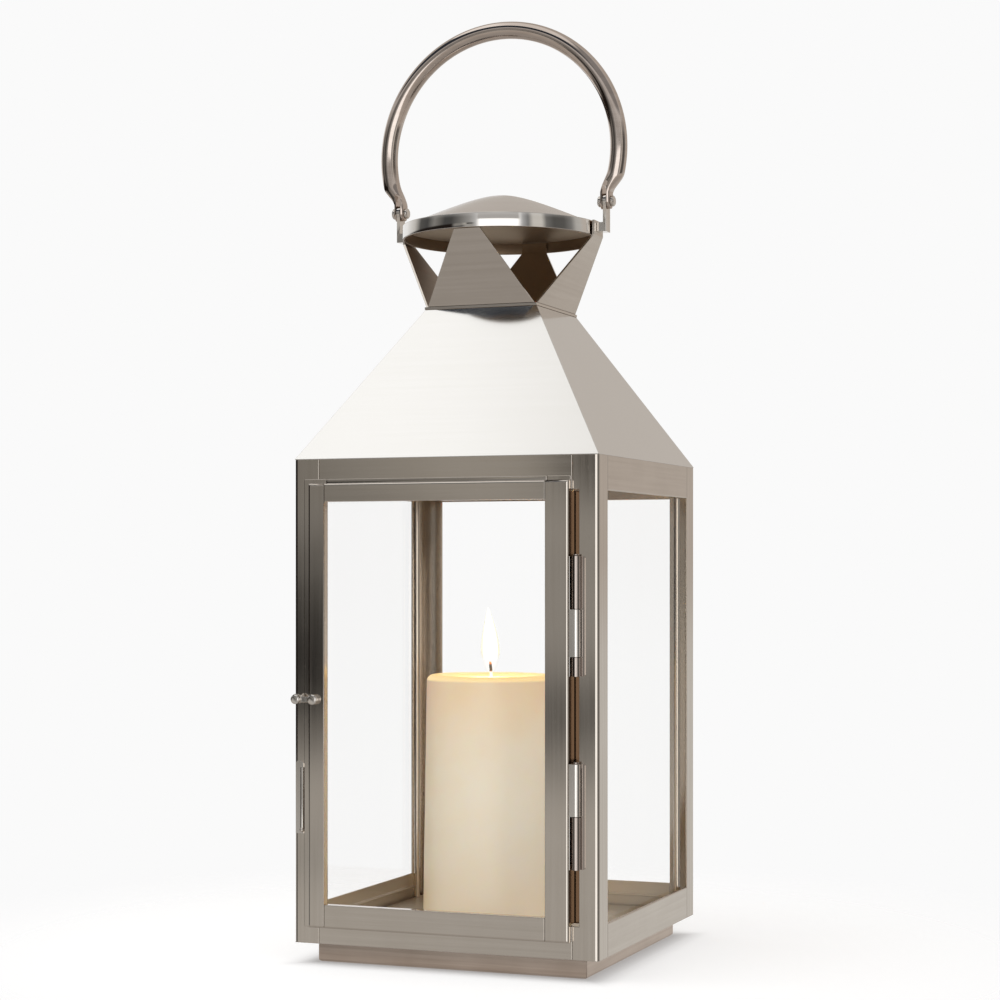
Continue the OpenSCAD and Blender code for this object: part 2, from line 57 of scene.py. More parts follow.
# Handle, in mm: ring of round rod, flattened ends with a slot, and the slot's arched mouth
LOOP_R = 73.6
LOOP_Z = 476.07
ROD_R = 5.1
ROD_END = math.radians(12)
PIVOT_X = 66.0
PIVOT_Z = 443.5
FORK_HALF_X = 3.1
FORK_HALF_Y = 4.5
FORK_SLOT = 1.3
MOUTH_Z = 452.5
MOUTH_R = 1.7
MOUTH_RISE = 2.6
MOUTH_OUT = 1.3
CUT_HALF_Y = 9
ARCH_STEPS = 12
LOOP_STEPS = 144
# Edges of the rod sharper than this stay crisp, in degrees
ROD_SHARP = 40.0

# Cap, in mm
RING_OUT = 59.5
RING_IN = 58.1
RING_LOW = 423.5
RING_HIGH = 432.0
CAP_R = 57.9
CAP_Z = 431.2
CAP_RISE = 19.3
CAP_SOFT = 0.411
CAP_T = 1.2

# Candle, in mm
CANDLE_X = -7.0
CANDLE_LOW = 16.02
CANDLE_TOP = 164.0
CANDLE_R = 41.0
CANDLE_TOP_R = 38.7
SHOULDER_R = 4.0
WICK_TOP = 171.5
FLAME_LOW = 163.5
FLAME_TOP = 204.0
FLAME_R = 6.3
FLAME_LIGHT_Z = 186

# Contact shade on the floor, in mm from the middle: full up to the first, none beyond the second
SHADE_IN = 78.0
SHADE_OUT = 104.0

# Door's front plate, in mm
DOOR_FRONT = -97.5
DOOR_SIDES = (-81.5, 76.6)
DOOR_ENDS = (21.8, 275.8)


# ---- Node helpers ----


class Graph:
    """Short calls for building a shader node tree."""

    def __init__(self, tree):
        self.tree = tree
        tree.nodes.clear()

    def add(self, kind, **inputs):
        """A new node; each keyword is an input's name, with _ for its spaces."""
        node = self.tree.nodes.new(kind)
        for name, value in inputs.items():
            self.put(node, name.replace("_", " "), value)
        return node

    def put(self, node, name, value):
        """Links a socket to an input, or sets the input to a plain value."""
        socket = node.inputs[name]
        if isinstance(value, bpy.types.NodeSocket):
            self.tree.links.new(value, socket)
        else:
            socket.default_value = value

    def math(self, operation, a, b=0.0, c=None):
        node = self.tree.nodes.new("ShaderNodeMath")
        node.operation = operation
        self.put(node, 0, a)
        self.put(node, 1, b)
        if c is not None:
            self.put(node, 2, c)
        return node.outputs[0]

    def step(self, value, low, high):
        """0 below low, 1 above high, smooth between; low may be above high."""
        node = self.tree.nodes.new("ShaderNodeMapRange")
        node.interpolation_type = "SMOOTHSTEP"
        for name, item in zip(("Value", "From Min", "From Max"), (value, low, high)):
            self.put(node, name, item)
        return node.outputs[0]

    def band(self, value, rise, fall):
        """1 between two soft edges, 0 outside them; an edge is a pair of values, the lower one first."""
        return self.math("MULTIPLY", self.step(value, *rise), self.step(value, fall[1], fall[0]))

    def scale(self, value, low, high):
        """A 0 to 1 value spread over low to high."""
        node = self.tree.nodes.new("ShaderNodeMapRange")
        self.put(node, "Value", value)
        node.inputs["To Min"].default_value = low
        node.inputs["To Max"].default_value = high
        return node.outputs[0]

    def mix(self, factor, a, b):
        """Colour a where factor is 0, colour b where it is 1."""
        node = self.tree.nodes.new("ShaderNodeMix")
        node.data_type = "RGBA"
        self.put(node, 0, factor)
        self.put(node, 6, a if isinstance(a, bpy.types.NodeSocket) else (*a, 1.0)[:4])
        self.put(node, 7, b if isinstance(b, bpy.types.NodeSocket) else (*b, 1.0)[:4])
        return node.outputs[2]

    def ramp(self, factor, stops):
        """Straight steps between stops of (place, colour)."""
        node = self.tree.nodes.new("ShaderNodeValToRGB")
        elements = node.color_ramp.elements
        while len(elements) > 1:
            elements.remove(elements[0])
        elements[0].position, elements[0].color = stops[0][0], (*stops[0][1], 1.0)
        for place, colour in stops[1:]:
            elements.new(place).color = (*colour, 1.0)
        self.put(node, 0, factor)
        return node.outputs[0]

    def split(self, vector):
        """The x, y and z sockets of a vector."""
        node = self.tree.nodes.new("ShaderNodeSeparateXYZ")
        self.put(node, 0, vector)
        return node.outputs

    def distance(self, x, y):
        """Distance from the vertical axis, from two sockets."""
        return self.math("SQRT", self.math("ADD", self.math("MULTIPLY", x, x), self.math("MULTIPLY", y, y)))

    def blend(self, share, first, second):
        """Two shaders mixed: the first where share is 0, the second where it is 1."""
        node = self.add("ShaderNodeMixShader")
        self.put(node, 0, share)
        self.tree.links.new(first.outputs[0], node.inputs[1])
        self.tree.links.new(second.outputs[0], node.inputs[2])
        return node

    def place(self, stretch=(1.0, 1.0, 1.0), turn=(0.0, 0.0, 0.0)):
        """Object coordinates in metres, stretched and turned."""
        source = self.tree.nodes.new("ShaderNodeTexCoord").outputs["Object"]
        node = self.tree.nodes.new("ShaderNodeMapping")
        self.put(node, 0, source)
        node.inputs["Scale"].default_value = stretch
        node.inputs["Rotation"].default_value = turn
        return node.outputs[0]

    def noise(self, vector, scale, detail=2.0, rough=0.5):
        node = self.tree.nodes.new("ShaderNodeTexNoise")
        self.put(node, "Vector", vector)
        node.inputs["Scale"].default_value = scale
        node.inputs["Detail"].default_value = detail
        node.inputs["Roughness"].default_value = rough
        return node.outputs[0]

    def bump(self, height, distance, normal=None):
        node = self.tree.nodes.new("ShaderNodeBump")
        self.put(node, "Height", height)
        node.inputs["Distance"].default_value = distance
        node.inputs["Strength"].default_value = 1.0
        if normal is not None:
            self.put(node, "Normal", normal)
        return node.outputs[0]


def new_material(name):
    material = bpy.data.materials.new(name)
    material.use_nodes = True
    return material, Graph(material.node_tree)


def finish_shader(graph, shader, output="ShaderNodeOutputMaterial"):
    out = graph.tree.nodes.new(output)
    graph.tree.links.new(shader.outputs[0], out.inputs[0])


# ---- Materials ----

CLEAR = (1.0, 1.0, 1.0, 1.0)

# How the marks of rolling are stretched for each grain direction
ALONG = {"x": (0.02, 1.0, 1.0), "y": (1.0, 0.02, 1.0), "z": (1.0, 1.0, 0.02), "flat": (0.02, 0.02, 1.0)}

# Noise scales of the metal's marks: more is finer
LINE_SCALE = 2600.0
STREAK_SCALE = 420.0
SMUDGE_SCALE = 24.0
SCRATCH_SCALE = 900.0
WAVE_SCALE = 14.0
# The least roughness that any metal has
SMOOTHEST = 0.02

# Where painted shade darkens the metal inside the lantern and under things, in mm: the sheet's inner side,
# the frame's top, the lowest thing overhead, and the near corner of the fold behind the door's hinged edge
SHEET_IN = 87.7
INSIDE_SHADE_TOP = 289.0
OVERHEAD_LOW = 260.0
GAP_SHADOW_CORNER = (73.5, -83.5)


def inside_shade_mask(g):
    """1 where painted shade browns the metal: faces towards the middle, the inside, and undersides overhead.
    """
    geometry = g.tree.nodes.new("ShaderNodeNewGeometry")
    product = g.tree.nodes.new("ShaderNodeVectorMath")
    product.operation = "MULTIPLY"
    g.put(product, 0, geometry.outputs["Normal"])
    g.put(product, 1, geometry.outputs["Position"])
    out_x, out_y, out_z = g.split(product.outputs[0])
    facing_in = g.step(g.math("ADD", out_x, out_y), -0.002, -0.012)
    x, y, z = g.split(geometry.outputs["Position"])
    depth = g.math("MAXIMUM", g.math("ABSOLUTE", x), g.math("ABSOLUTE", y))
    in_frame = g.step(depth, (SHEET_IN + 0.5) * MM, (SHEET_IN - 0.5) * MM)
    within = g.math("MULTIPLY", in_frame, g.step(z, (INSIDE_SHADE_TOP + 3) * MM, INSIDE_SHADE_TOP * MM))
    facing_down = g.step(out_z, -0.22, -0.26)
    overhead = g.math("MULTIPLY", facing_down, g.step(z, OVERHEAD_LOW * MM, (OVERHEAD_LOW + 5) * MM))
    return g.math("MAXIMUM", facing_in, g.math("MAXIMUM", within, overhead))


def gap_shadow_mask(g):
    """1 on the fold behind the door's hinged edge, where a painted shadow darkens the gap."""
    x, y, _ = g.split(g.tree.nodes.new("ShaderNodeNewGeometry").outputs["Position"])
    corner_x, corner_y = GAP_SHADOW_CORNER
    beyond_x = g.step(x, corner_x * MM, (corner_x + 0.8) * MM)
    beyond_y = g.step(y, corner_y * MM, (corner_y - 0.7) * MM)
    return g.math("MULTIPLY", beyond_x, beyond_y)


def steel(name, grain, light, dark, rough, spread, grain_height, wave_height, shade_brown=None, dull=0.0):
    """Nickel-coloured steel with rolling grain along one direction, fine scratches, wear and slow waves.

    Heights are in mm. Inside faces take the painted shade colour and are duller by the given amount.
    """
    material, g = new_material(name)
    grain_place = g.place(ALONG[grain])
    lines = g.noise(grain_place, LINE_SCALE, 3.0, 0.6)
    streaks = g.noise(grain_place, STREAK_SCALE, 4.0, 0.6)
    smudge = g.noise(g.place(), SMUDGE_SCALE, 3.0, 0.55)
    scratch_place = g.place((1.0, 0.05, 0.35), (0.5, 0.9, 0.3))
    scratches = g.step(g.noise(scratch_place, SCRATCH_SCALE, 2.0, 0.7), 0.66, 0.8)
    tone = g.math("ADD", g.math("MULTIPLY", streaks, 0.6), g.math("MULTIPLY", smudge, 0.4))
    colour = g.mix(g.step(tone, 0.3, 0.7), dark, light)
    rolled = g.scale(streaks, rough - spread, rough + spread)
    roughness = g.math("ADD", rolled, g.math("MULTIPLY", smudge, spread))
    # Painted shade: faces inside the lantern and undersides overhead are mixed towards a darker brown
    if shade_brown:
        inside = inside_shade_mask(g)
        shaded_colour = g.mix(inside, colour, shade_brown)
        # Painted shadow: the inward faces of the fold behind the door's hinged edge turn nearly black brown
        colour = g.mix(g.math("MULTIPLY", inside, gap_shadow_mask(g)), shaded_colour, GAP_SHADOW_BROWN)
        roughness = g.math("MULTIPLY_ADD", inside, dull, roughness)
    roughness = g.math("MAXIMUM", g.math("MULTIPLY_ADD", scratches, 0.05, roughness), SMOOTHEST)
    wave = g.bump(g.noise(g.place(), WAVE_SCALE, 1.0, 0.4), wave_height * MM)
    fine = g.bump(g.math("MULTIPLY_ADD", scratches, -0.3, lines), grain_height * MM, wave)
    shader = g.add("ShaderNodeBsdfPrincipled", Base_Color=colour, Roughness=roughness, Normal=fine)
    shader.inputs["Metallic"].default_value = 1.0
    finish_shader(g, shader)
    return material


POLISHED_LIGHT = (0.79, 0.765, 0.735)
POLISHED_DARK = (0.755, 0.725, 0.69)
SATIN_LIGHT = (0.665, 0.61, 0.55)
SATIN_DARK = (0.595, 0.54, 0.48)
ROOF_LIGHT = (0.80, 0.785, 0.765)
ROOF_DARK = (0.785, 0.77, 0.745)
DOME_LIGHT = (0.80, 0.765, 0.735)
DOME_DARK = (0.74, 0.70, 0.665)
HANDLE_LIGHT = (0.65, 0.57, 0.515)
HANDLE_DARK = (0.55, 0.47, 0.415)
PAN_LIGHT = (0.66, 0.60, 0.50)
PAN_DARK = (0.54, 0.475, 0.385)
HINGE_LIGHT = (0.50, 0.44, 0.40)
HINGE_DARK = (0.40, 0.345, 0.31)
PLINTH_LIGHT = (0.68, 0.575, 0.50)
PLINTH_DARK = (0.50, 0.405, 0.34)
# Browns of painted shade for faces inside the lantern and undersides overhead
INSIDE_SHADE_BROWN = (0.60, 0.515, 0.425)
SILL_SHADE_BROWN = (0.66, 0.58, 0.48)
CROWN_SHADE_BROWN = (0.30, 0.215, 0.145)
DOME_SHADE_BROWN = (0.55, 0.46, 0.36)
# Near-black brown of the painted shadow in the gap behind the door's hinged edge
GAP_SHADOW_BROWN = (0.16, 0.10, 0.06)

# Each finish: light and dark tone, roughness and its spread, height of its grain and of its waves in mm,
# and for faces inside and underneath, the brown of their painted shade and how much duller they are
FINISHES = {
    "satin_steel": (SATIN_LIGHT, SATIN_DARK, 0.12, 0.04, 0.002, 0.05, CROWN_SHADE_BROWN, 0.22),
    "plinth_steel": (PLINTH_LIGHT, PLINTH_DARK, 0.28, 0.05, 0.0018, 0.05),
    "hardware_steel": (POLISHED_LIGHT, SATIN_LIGHT, 0.11, 0.04, 0.001, 0.02),
    "frame_steel": (SATIN_LIGHT, SATIN_DARK, 0.065, 0.03, 0.0012, 0.12, INSIDE_SHADE_BROWN, 0.10),
    "sill_steel": (SATIN_LIGHT, SATIN_DARK, 0.065, 0.03, 0.0012, 0.12, SILL_SHADE_BROWN, 0.35),
    "pan_steel": (PAN_LIGHT, PAN_DARK, 0.34, 0.04, 0.002, 0.05),
    "roof_steel": (ROOF_LIGHT, ROOF_DARK, 0.10, 0.01, 0.0001, 0.02),
    "dome_steel": (DOME_LIGHT, DOME_DARK, 0.2, 0.04, 0.0008, 0.03, DOME_SHADE_BROWN, 0.25),
    "hoop_steel": (POLISHED_LIGHT, POLISHED_DARK, 0.045, 0.015, 0.0002, 0.05, CROWN_SHADE_BROWN, 0.3),
    "handle_steel": (HANDLE_LIGHT, HANDLE_DARK, 0.07, 0.03, 0.0004, 0.03),
    "hinge_steel": (HINGE_LIGHT, HINGE_DARK, 0.09, 0.03, 0.001, 0.02),
}
# Finishes with the same grain direction wherever they are used
ONE_GRAIN = {"hardware_steel": "z", "pan_steel": "x", "roof_steel": "x", "dome_steel": "flat",
             "hoop_steel": "flat", "handle_steel": "flat", "hinge_steel": "z"}

# Pieces whose finish differs from the rest of their slot
LOOK = {"post": "frame_steel", "door_stile": "frame_steel", "door_rail": "frame_steel",
        "header_rail": "frame_steel", "glass_stop": "frame_steel", "bottom_rail": "sill_steel",
        "floor_pan": "pan_steel", "roof": "roof_steel", "hinge": "hinge_steel"}

METALS = {}


def metal(finish, grain="z"):
    """The material of a finish, made once for each grain direction that is in use."""
    name = finish if finish in ONE_GRAIN else finish + "_" + grain
    if name not in METALS:
        METALS[name] = steel(name, ONE_GRAIN.get(finish, grain), *FINISHES[finish])
    return METALS[name]


PANE_TINT = (1.0, 1.0, 0.9995, 1.0)
PANE_GLOSS = (0.96, 0.98, 0.97, 1.0)


def glass():
    """Clear pane: see-through with a Fresnel mirror, a slight tint and faint streaks left by wiping."""
    material, g = new_material("pane_glass")
    wipe = g.noise(g.place((1.0, 1.0, 0.25), (0.0, 0.5, 0.0)), 30.0, 3.0, 0.6)
    clear = g.add("ShaderNodeBsdfTransparent", Color=PANE_TINT)
    gloss = g.add("ShaderNodeBsdfPrincipled", Base_Color=PANE_GLOSS)
    gloss.inputs["Metallic"].default_value = 1.0
    g.put(gloss, "Roughness", g.scale(wipe, 0.005, 0.05))
    fresnel = g.add("ShaderNodeFresnel", IOR=1.5).outputs[0]
    share = g.math("MULTIPLY", fresnel, g.scale(wipe, 0.06, 0.10))
    finish_shader(g, g.blend(share, clear, gloss))
    return material


WAX_DEEP = (0.92, 0.82, 0.615)
WAX_PALE = (0.95, 0.865, 0.675)
# Light that comes through the wax, in the middle of what is seen and at its outline: along the side,
# near the foot, where it also comes back from the pan, and below the flame
GLOW_SIDE = ((0.205, 0.172, 0.148), (0.07, 0.03, 0.0))
GLOW_FOOT = ((0.315, 0.245, 0.18), (0.16, 0.095, 0.035))
GLOW_TOP = ((0.24, 0.125, 0.045), (0.14, 0.03, 0.0))
# The top, from the wick to the rim, as shares of its radius
GLOW_POOL = [(0.0, (1.0, 1.0, 1.0)), (0.2, (1.0, 1.0, 0.9)), (0.36, (0.85, 0.62, 0.16)),
             (0.75, (0.72, 0.47, 0.12)), (1.0, (0.56, 0.34, 0.08))]


def wax():
    """Ivory wax: soft mottling, a slightly grainy skin, and the warm glow that the flame gives it."""
    material, g = new_material("wax")
    x, y, z = g.split(g.place())
    reach = g.distance(g.math("SUBTRACT", x, CANDLE_X * MM), y)
    mottle = g.noise(g.place(), 45.0, 5.0, 0.6)
    grain = g.noise(g.place((1.0, 1.0, 0.5)), 900.0, 3.0, 0.6)
    colour = g.mix(g.step(mottle, 0.3, 0.7), WAX_DEEP, WAX_PALE)
    facing = g.add("ShaderNodeLayerWeight", Blend=0.5).outputs["Facing"]
    rim = g.step(facing, 0.15, 0.95)
    near_foot = g.step(z, 75 * MM, 18 * MM)
    near_top = g.math("POWER", g.step(z, (CANDLE_TOP - 75) * MM, CANDLE_TOP * MM), 1.6)
    side_glow = g.mix(near_foot, g.mix(rim, *GLOW_SIDE), g.mix(rim, *GLOW_FOOT))
    side_glow = g.mix(near_top, side_glow, g.mix(rim, *GLOW_TOP))
    pool = g.ramp(g.math("DIVIDE", reach, CANDLE_TOP_R * MM), GLOW_POOL)
    level = g.step(z, (CANDLE_TOP - 3.8) * MM, (CANDLE_TOP - 2.6) * MM)
    shader = g.add("ShaderNodeBsdfPrincipled", Base_Color=colour)
    g.put(shader, "Roughness", g.scale(mottle, 0.36, 0.5))
    shader.inputs["Subsurface Weight"].default_value = 0.35
    shader.inputs["Subsurface Radius"].default_value = (1.0, 0.6, 0.3)
    shader.inputs["Subsurface Scale"].default_value = 0.012
    g.put(shader, "Emission Color", g.mix(level, side_glow, pool))
    shader.inputs["Emission Strength"].default_value = 1.0
    g.put(shader, "Normal", g.bump(g.math("MULTIPLY_ADD", grain, 0.15, mottle), 0.05 * MM))
    finish_shader(g, shader)
    return material


COTTON = (0.55, 0.42, 0.25)
CHAR_DARK = (0.012, 0.009, 0.008)
CHAR_PALE = (0.07, 0.04, 0.028)
EMBER = (1.0, 0.28, 0.05)
WICK_FOOT_GLOW = (1.0, 0.97, 0.85)


def char():
    """Braided cotton, charred above the wax, with an ember at its tip and a painted glow at its foot in the
    molten wax.
    """
    material, g = new_material("wick")
    z = g.split(g.place())[2]
    braid = g.noise(g.place((1.0, 1.0, 0.4), (0.6, 0.0, 0.0)), 2600.0, 2.0, 0.5)
    burnt = g.step(z, (CANDLE_TOP - 2) * MM, (CANDLE_TOP + 2.5) * MM)
    colour = g.mix(burnt, COTTON, g.mix(braid, CHAR_DARK, CHAR_PALE))
    shader = g.add("ShaderNodeBsdfPrincipled", Base_Color=colour)
    g.put(shader, "Roughness", g.scale(braid, 0.75, 0.95))
    tip = g.math("MULTIPLY", g.step(z, (WICK_TOP - 2.2) * MM, WICK_TOP * MM), 1.5)
    # Painted light: the wick's foot in the molten wax glows white-yellow as if lit by the flame
    foot = g.step(z, (CANDLE_TOP + 2.2) * MM, (CANDLE_TOP + 1.2) * MM)
    g.put(shader, "Emission Color", g.mix(foot, EMBER, WICK_FOOT_GLOW))
    g.put(shader, "Emission Strength", g.math("MAXIMUM", tip, foot))
    g.put(shader, "Normal", g.bump(braid, 0.06 * MM))
    finish_shader(g, shader)
    return material


# Flame colours from its foot to its tip, as shares of its height
FLAME_CORE = [(0.0, (1.0, 0.9, 0.65)), (0.12, (1.0, 0.97, 0.85)),
              (0.25, (1.0, 1.0, 0.96)), (1.0, (1.0, 1.0, 0.98))]
FLAME_EDGE = [(0.0, (1.0, 0.82, 0.5)), (0.25, (1.0, 0.93, 0.68)),
              (0.5, (1.0, 0.97, 0.76)), (1.0, (1.0, 0.98, 0.82))]


def fire():
    """Flame: a white core that thins to pale yellow at its edge, and a clear foot round the wick."""
    material, g = new_material("flame")
    z = g.split(g.place())[2]
    facing = g.add("ShaderNodeLayerWeight", Blend=0.5).outputs["Facing"]
    height = g.step(z, FLAME_LOW * MM, FLAME_TOP * MM)
    edge = g.step(facing, 0.12, 0.5)
    colour = g.mix(edge, g.ramp(height, FLAME_CORE), g.ramp(height, FLAME_EDGE))
    glow = g.add("ShaderNodeEmission", Color=colour)
    g.put(glow, "Strength", g.math("MULTIPLY_ADD", g.math("SUBTRACT", 1.0, edge), 0.9, 1.0))
    clear = g.add("ShaderNodeBsdfTransparent", Color=CLEAR)
    flicker = g.noise(g.place(), 60.0, 2.0, 0.5)
    foot = g.scale(g.step(height, 0.12, 0.32), 0.05, 1.0)
    body = g.math("MULTIPLY", g.step(facing, 0.95, 0.35), foot)
    finish_shader(g, g.blend(g.math("MULTIPLY", body, g.scale(flicker, 0.92, 1.0)), clear, glow))
    return material


# ---- Mesh helpers ----


def add_object(name, bm, sharp=30.0):
    mesh = bpy.data.meshes.new(name)
    bm.to_mesh(mesh)
    bm.free()
    mesh.shade_smooth()
    mesh.set_sharp_from_angle(angle=math.radians(sharp))
    thing = bpy.data.objects.new(name, mesh)
    bpy.context.scene.collection.objects.link(thing)
    return thing


def dress(thing, material, body, slot, *nodes):
    """Gives a piece its material and its body, and hides the CAD nodes that it stands for."""
    thing.data.materials.clear()
    thing.data.materials.append(material)
    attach(thing, body)
    if nodes:
        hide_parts(*nodes)


def loft(sections):
    """Skin over rings of equal length, capped at both ends."""
    bm = bmesh.new()
    rings = [[bm.verts.new(p) for p in ring] for ring in sections]
    count = len(rings[0])
    for low, high in zip(rings, rings[1:]):
        for i in range(count):
            j = (i + 1) % count
            bm.faces.new((low[i], low[j], high[j], high[i]))
    bm.faces.new(rings[0][::-1])
    bm.faces.new(rings[-1])
    bmesh.ops.recalc_face_normals(bm, faces=bm.faces)
    return bm


def lathe(profile, centre=(0.0, 0.0), count=96, wobble=None):
    """Turns a profile of (radius, height) in mm about a vertical axis; radius 0 closes it."""
    bm = bmesh.new()
    rings = []
    for r, z in profile:
        if r < 1e-6:
            rings.append([bm.verts.new((centre[0] * MM, centre[1] * MM, z * MM))])
            continue
        ring = []
        for i in range(count):
            a = math.tau * i / count
            rr, zz = wobble(r, z, a) if wobble else (r, z)
            x = centre[0] + rr * math.cos(a)
            y = centre[1] + rr * math.sin(a)
            ring.append(bm.verts.new((x * MM, y * MM, zz * MM)))
        rings.append(ring)
    pairs = list(zip(rings, rings[1:]))
    if len(rings[0]) > 1 and len(rings[-1]) > 1:
        pairs.append((rings[-1], rings[0]))
    for low, high in pairs:
        for i in range(count):
            j = (i + 1) % count
            face = [low[i % len(low)], low[j % len(low)], high[j % len(high)], high[i % len(high)]]
            unique = list(dict.fromkeys(face))
            if len(unique) > 2:
                bm.faces.new(unique)
    bmesh.ops.recalc_face_normals(bm, faces=bm.faces)
    return bm


# ---- CAD nodes refined: welded, edges rounded, shading smoothed ----

# Grain directions other than upright
GRAIN = {"door_rail_top": "x", "door_rail_bottom": "x", "base_plate": "x", "underside_plate": "x",
         "crown_collar": "flat"}
for axis, sides in (("x", ("front", "back")), ("y", ("left", "right"))):
    for side in sides:
        GRAIN["crown_tab_" + side] = "flat"
        for prefix in ("plinth_", "bottom_rail_", "header_rail_"):
            GRAIN[prefix + side] = axis

# Radii of eased edges and of folded corners in mm, by how a node's name starts
EDGE = {"plinth": 0.3, "roof": 0.25, "crown": 0.2, "door": 0.35, "post": 0.3, "pane": 0.12,
        "hinge": 0.25, "latch": 0.25, "keeper": 0.2, "side_catch": 0.25, "handle": 0.25}
FOLD = {"post": 2.3, "door_stile": 1.4, "door_rail": 1.4, "bottom_rail": 0.85, "header_rail": 0.7,
        "plinth": 1.0}
# Vertices nearer than this, in metres, are at the same place
CLOSE = 1e-5
OWN_MESH = ("handle_ring", "cap_ring", "dome_cap", "candle_wax", "candle_wick")


def by_start(table, node, other=None):
    """The table's value for how a node's name starts."""
    return next((value for start, value in table.items() if node.startswith(start)), other)


def fold_test(node, thing):
    """Says which of a piece's corners come from folding the sheet, so have a larger radius than cut ones."""
    points = [v.co for v in thing.data.vertices]
    if node.startswith("post"):
        corner = max(abs(p.x) + abs(p.y) for p in points)
        return lambda p, q: all(abs(v.x) + abs(v.y) > corner - CLOSE for v in (p, q))
    if node.startswith("plinth"):
        reach = max(max(abs(p.x), abs(p.y)) for p in points)
        return lambda p, q: all(max(abs(v.x), abs(v.y)) > reach - 1.1 * MM for v in (p, q))
    if node.startswith(("bottom_rail", "header_rail")):
        reach = max(max(abs(p.x), abs(p.y)) for p in points)
        heights = [p.z for p in points if max(abs(p.x), abs(p.y)) > reach - CLOSE]
        level = max(heights) if node.startswith("bottom") else min(heights)

        def on_corner(v):
            return abs(v.z - level) < CLOSE and max(abs(v.x), abs(v.y)) > reach - CLOSE

        return lambda p, q: on_corner(p) and on_corner(q)

    def on_door_rim(p, q):
        if max(abs(p.y - DOOR_FRONT * MM), abs(q.y - DOOR_FRONT * MM)) > CLOSE:
            return False
        upright = any(abs(p.x - x * MM) + abs(q.x - x * MM) < CLOSE for x in DOOR_SIDES)
        level = any(abs(p.z - z * MM) + abs(q.z - z * MM) < CLOSE for z in DOOR_ENDS)
        return upright or level

    return on_door_rim


def fold(node, thing, bevel, radius):
    """Gives the folded corners their larger radius."""
    folded = fold_test(node, thing)
    wide = by_start(FOLD, node) * MM
    weights = thing.data.attributes.new("bevel_weight_edge", "FLOAT", "EDGE")
    bm = bmesh.new()
    bm.from_mesh(thing.data)
    tight = {v for edge in bm.edges if edge.calc_length() < 2.2 * radius * MM for v in edge.verts}
    for edge in bm.edges:
        sharp = len(edge.link_faces) == 2 and edge.calc_face_angle(0.0) > bevel.angle_limit
        if sharp and folded(edge.verts[0].co, edge.verts[1].co):
            weights.data[edge.index].value = 1.0
        elif sharp and not tight.intersection(edge.verts):
            weights.data[edge.index].value = radius * MM / wide
    bm.free()
    bevel.limit_method = "WEIGHT"
    bevel.width = wide
    bevel.segments = 4


def refine(node):
    """A copy of a CAD node's surface with its edges eased, as rolled and filed metal has them."""
    bm = bmesh.new()
    bm.from_mesh(frame["nodes"][node].data)
    bmesh.ops.remove_doubles(bm, verts=bm.verts, dist=1e-6)
    bmesh.ops.dissolve_limit(bm, angle_limit=math.radians(0.6), verts=bm.verts, edges=bm.edges)
    thing = add_object(node + "_finished", bm)
    radius = by_start(EDGE, node, 0.3)
    bevel = thing.modifiers.new("eased_edges", "BEVEL")
    bevel.width = radius * MM
    bevel.segments = 2
    bevel.limit_method = "ANGLE"
    bevel.angle_limit = math.radians(35)
    if by_start(FOLD, node):
        fold(node, thing, bevel, radius)
    bevel.harden_normals = True
    bevel.use_clamp_overlap = True
    slot = SLOT_OF[node]
    look = by_start(LOOK, node, slot)
    material = pane_glass if look == "pane_glass" else metal(look, GRAIN.get(node, "z"))
    dress(thing, material, BODY_OF[node], slot, node)


pane_glass = glass()
for node_name in frame["nodes"]:
    if node_name not in OWN_MESH:
        refine(node_name)


# ---- Handle: one round rod whose flattened ends are slit into forks ----


def oval(centre, u, half_u, half_y, power, count=40):
    """Ring of points of a rounded section, in metres: power 2 is an ellipse, more is squarer."""
    points = []
    for i in range(count):
        a = math.tau * i / count
        c, s = math.cos(a), math.sin(a)
        pu = half_u * math.copysign(abs(c) ** (2 / power), c)
        py = half_y * math.copysign(abs(s) ** (2 / power), s)
        points.append(((centre[0] + u[0] * pu) * MM, py * MM, (centre[1] + u[1] * pu) * MM))
    return points


def fork_sections(side):
    """From the pivot end up to where the rod is round again."""
    sections = []
    for k in range(9):
        drop = FORK_HALF_Y * math.cos(math.pi / 2 * k / 8)
        half_y = max(0.35, math.sqrt(max(0.0, FORK_HALF_Y ** 2 - drop ** 2)))
        sections.append(oval((side * PIVOT_X, PIVOT_Z - drop), (side, 0.0), FORK_HALF_X, half_y, 5.0))
    sections.append(oval((side * PIVOT_X, PIVOT_Z + 5.0), (side, 0.0), FORK_HALF_X, FORK_HALF_Y, 5.0))
    end = (LOOP_R * math.cos(ROD_END), LOOP_Z - LOOP_R * math.sin(ROD_END))
    start = (PIVOT_X, PIVOT_Z + 5.0)
    for k in range(1, 9):
        t = k / 9
        s = t * t * (3 - 2 * t)
        tilt = ROD_END * t
        out = start[0] + (end[0] - start[0]) * (0.35 * t + 0.65 * s)
        centre = (side * out, start[1] + (end[1] - start[1]) * t)
        u = (side * math.cos(tilt), -math.sin(tilt))
        sections.append(oval(centre, u, FORK_HALF_X + (ROD_R - FORK_HALF_X) * s,
                             FORK_HALF_Y + (ROD_R - FORK_HALF_Y) * s, 5.0 - 3.0 * s))
    return sections


def fork_outline(side):
    """A fork's slot in the handle's plane, in mm: parallel sides under an arch that leans outward."""
    low, high = PIVOT_Z - 10, MOUTH_Z - 1.0
    outline = [(-FORK_SLOT, low), (FORK_SLOT, low), (FORK_SLOT, high)]
    for k in range(ARCH_STEPS + 1):
        a = math.pi * k / ARCH_STEPS
        x = side * MOUTH_OUT * math.sin(a) + MOUTH_R * math.cos(a)
        outline.append((x, MOUTH_Z + MOUTH_RISE * math.sin(a)))
    outline.append((-FORK_SLOT, high))
    return [(side * PIVOT_X + x, z) for x, z in outline]


